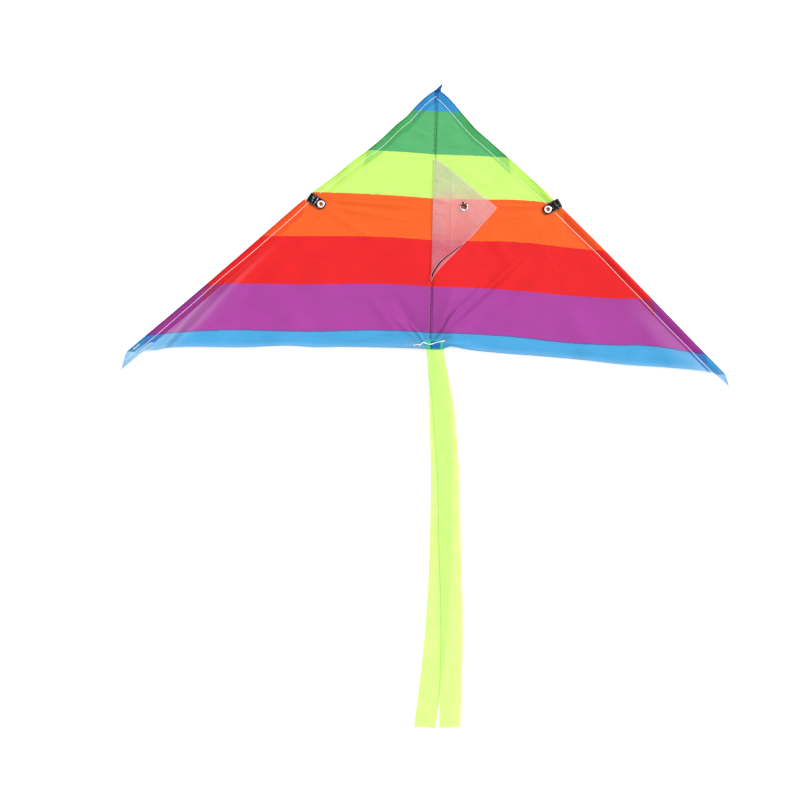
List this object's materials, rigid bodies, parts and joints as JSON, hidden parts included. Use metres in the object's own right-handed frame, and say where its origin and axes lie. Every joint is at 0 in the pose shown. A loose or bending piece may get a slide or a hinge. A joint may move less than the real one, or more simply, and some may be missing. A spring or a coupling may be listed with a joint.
{
  "type": "delta kite",
  "caption": "Delta kite with striped cloth wings, leading edge spars, spine, folding keel with a line eyelet, strap tabs for a spreader, and a ribbon tail.",
  "frame": {"origin": "centre of the bounding box at its base, with the kite lying on its back", "axes": "+Z is the keel side, +Y points from the tail to the nose, +X is to the right as seen from the keel side"},
  "size_m": [0.7, 0.7404, 0.0094],
  "materials": {
    "sail_cloth": "thin striped polyester, slightly see-through",
    "rod": "pultruded fibreglass",
    "vinyl": "glossy black soft vinyl",
    "eyelet_metal": "bright rolled metal",
    "pocket_cloth": "dark blue polyester",
    "cap": "soft white vinyl cap",
    "keel_cloth": "thin white see-through polyester",
    "ribbon": "thin yellow-green see-through polyester",
    "thread": "white sewing thread"
  },
  "bodies": {
    "spine": {"sail_centre_strip": "sail_cloth", "spine_rod": "rod", "nose_pocket": "pocket_cloth", "spine_end_pocket": "pocket_cloth", "spreader_loop_upper": "pocket_cloth", "spreader_loop_lower": "pocket_cloth", "tail_tack_thread": "thread"},
    "wing_left": {"sail_left": "sail_cloth", "leading_edge_spar_left": "rod"},
    "wing_right": {"sail_right": "sail_cloth", "leading_edge_spar_right": "rod"},
    "tab_left": {"strap_left": "vinyl", "strap_eyelet_left": "eyelet_metal"},
    "tab_right": {"strap_right": "vinyl", "strap_eyelet_right": "eyelet_metal"},
    "keel": {"keel_upper_ply": "keel_cloth", "keel_lower_ply": "keel_cloth", "keel_eyelet": "eyelet_metal"},
    "tail_left": {"tail_ribbon_left": "ribbon"},
    "tail_right": {"tail_ribbon_right": "ribbon"},
    "spreader": {"spreader_rod": "rod", "spreader_cap_upper": "cap", "spreader_cap_lower": "cap"}
  },
  "joints": [
    {"name": "wing_left_fold", "type": "hinge", "parent": "spine", "child": "wing_left", "pos_m": [-0.00965, 0.2, 0.00645], "axis": [0, -1, 0], "range_deg": [0, 50]},
    {"name": "wing_right_fold", "type": "hinge", "parent": "spine", "child": "wing_right", "pos_m": [0.00965, 0.2, 0.00645], "axis": [0, 1, 0], "range_deg": [0, 50]},
    {"name": "tab_left_swing", "type": "hinge", "parent": "wing_left", "child": "tab_left", "pos_m": [-0.14122, 0.23572, 0.00645], "axis": [-0.7312, -0.6822, 0], "range_deg": [0, 310]},
    {"name": "tab_right_swing", "type": "hinge", "parent": "wing_right", "child": "tab_right", "pos_m": [0.14122, 0.23572, 0.00645], "axis": [-0.7312, 0.6822, 0], "range_deg": [0, 310]},
    {"name": "keel_swing", "type": "hinge", "parent": "spine", "child": "keel", "pos_m": [-0.00175, 0.22, 0.0078], "axis": [0, -1, 0], "range_deg": [0, 176]},
    {"name": "tail_swing", "type": "hinge", "parent": "spine", "child": "tail_left", "pos_m": [0.006, 0.07675, 0.0046], "axis": [1, 0, 0], "range_deg": [0, 85]},
    {"name": "tail_spread", "type": "hinge", "parent": "tail_left", "child": "tail_right", "pos_m": [0.004, 0.07575, 0.0046], "axis": [0, 0, 1], "range_deg": [-3, 6]},
    {"name": "spreader_slide", "type": "slide", "parent": "spine", "child": "spreader", "axis": [0, 1, 0], "range_m": [0, 0.275]}
  ]
}
